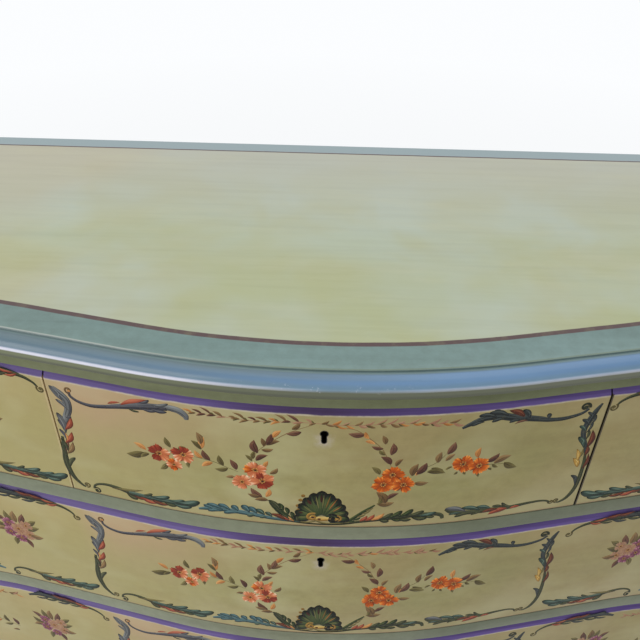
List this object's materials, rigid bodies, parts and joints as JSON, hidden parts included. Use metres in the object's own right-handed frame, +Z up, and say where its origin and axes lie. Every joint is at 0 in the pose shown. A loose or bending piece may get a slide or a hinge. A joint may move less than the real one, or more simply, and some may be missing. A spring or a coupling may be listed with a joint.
{
  "type": "dresser",
  "caption": "Serpentine-front painted dresser with short drawers over long drawers, a moulded top, canted corner posts and cabriole legs; each drawer slides and has a lock bolt.",
  "frame": {"origin": "centre of the footprint, on the floor", "axes": "+X to the right of someone who faces the drawers, +Y to the back, +Z up; the drawers open towards -Y"},
  "size_m": [1.83, 0.54, 0.86],
  "materials": {
    "painted_top": "glazed paint under satin varnish",
    "painted_rail": "glazed paint under satin varnish",
    "painted_case": "glazed paint under satin varnish",
    "painted_front": "glazed paint with hand-painted ornament under satin varnish",
    "raw_wood": "plain wood",
    "back_wood": "plain plywood",
    "lock_steel": "aged",
    "lock_brass": "aged"
  },
  "bodies": {
    "case": {"top": "painted_top", "top_rail": "painted_rail", "upper_rail": "painted_rail", "lower_rail": "painted_rail", "bottom_rail": "raw_wood", "apron": "painted_case", "side_panel_left": "painted_case", "side_panel_right": "painted_case", "front_leg_left": "painted_case", "front_leg_right": "painted_case", "rear_leg_left": "painted_case", "rear_leg_right": "painted_case", "partition_left": "raw_wood", "partition_right": "raw_wood", "back_panel": "back_wood", "top_back_rail": "raw_wood", "rear_cross_rails": "raw_wood", "case_bottom": "raw_wood", "drawer_runners": "raw_wood", "upper_dust_panels": "raw_wood", "lower_dust_panel": "raw_wood", "drawer_kickers": "raw_wood", "drawer_guides": "raw_wood", "drawer_stops": "raw_wood", "corner_blocks": "raw_wood"},
    "left_drawer": {"left_drawer_front": "painted_front", "left_drawer_side_left": "raw_wood", "left_drawer_side_right": "raw_wood", "left_drawer_back": "raw_wood", "left_drawer_bottom": "raw_wood", "left_drawer_lock_case": "lock_steel"},
    "left_drawer_bolt": {"left_drawer_lock_bolt": "lock_brass"},
    "centre_drawer": {"centre_drawer_front": "painted_front", "centre_drawer_side_left": "raw_wood", "centre_drawer_side_right": "raw_wood", "centre_drawer_back": "raw_wood", "centre_drawer_bottom": "raw_wood", "centre_drawer_lock_case": "lock_steel"},
    "centre_drawer_bolt": {"centre_drawer_lock_bolt": "lock_brass"},
    "right_drawer": {"right_drawer_front": "painted_front", "right_drawer_side_left": "raw_wood", "right_drawer_side_right": "raw_wood", "right_drawer_back": "raw_wood", "right_drawer_bottom": "raw_wood", "right_drawer_lock_case": "lock_steel"},
    "right_drawer_bolt": {"right_drawer_lock_bolt": "lock_brass"},
    "middle_drawer": {"middle_drawer_front": "painted_front", "middle_drawer_side_left": "raw_wood", "middle_drawer_side_right": "raw_wood", "middle_drawer_back": "raw_wood", "middle_drawer_bottom": "raw_wood", "middle_drawer_lock_case": "lock_steel"},
    "middle_drawer_bolt": {"middle_drawer_lock_bolt": "lock_brass"},
    "bottom_drawer": {"bottom_drawer_front": "painted_front", "bottom_drawer_side_left": "raw_wood", "bottom_drawer_side_right": "raw_wood", "bottom_drawer_back": "raw_wood", "bottom_drawer_bottom": "raw_wood", "bottom_drawer_lock_case": "lock_steel"},
    "bottom_drawer_bolt": {"bottom_drawer_lock_bolt": "lock_brass"}
  },
  "joints": [
    {"name": "left_drawer_slide", "type": "slide", "parent": "case", "child": "left_drawer", "axis": [0, -1, 0], "range_m": [0, 0.34]},
    {"name": "left_drawer_bolt_slide", "type": "slide", "parent": "left_drawer", "child": "left_drawer_bolt", "axis": [0, 0, 1], "range_m": [0, 0.008]},
    {"name": "centre_drawer_slide", "type": "slide", "parent": "case", "child": "centre_drawer", "axis": [0, -1, 0], "range_m": [0, 0.4]},
    {"name": "centre_drawer_bolt_slide", "type": "slide", "parent": "centre_drawer", "child": "centre_drawer_bolt", "axis": [0, 0, 1], "range_m": [0, 0.008]},
    {"name": "right_drawer_slide", "type": "slide", "parent": "case", "child": "right_drawer", "axis": [0, -1, 0], "range_m": [0, 0.34]},
    {"name": "right_drawer_bolt_slide", "type": "slide", "parent": "right_drawer", "child": "right_drawer_bolt", "axis": [0, 0, 1], "range_m": [0, 0.008]},
    {"name": "middle_drawer_slide", "type": "slide", "parent": "case", "child": "middle_drawer", "axis": [0, -1, 0], "range_m": [0, 0.34]},
    {"name": "middle_drawer_bolt_slide", "type": "slide", "parent": "middle_drawer", "child": "middle_drawer_bolt", "axis": [0, 0, 1], "range_m": [0, 0.008]},
    {"name": "bottom_drawer_slide", "type": "slide", "parent": "case", "child": "bottom_drawer", "axis": [0, -1, 0], "range_m": [0, 0.34]},
    {"name": "bottom_drawer_bolt_slide", "type": "slide", "parent": "bottom_drawer", "child": "bottom_drawer_bolt", "axis": [0, 0, 1], "range_m": [0, 0.008]}
  ]
}
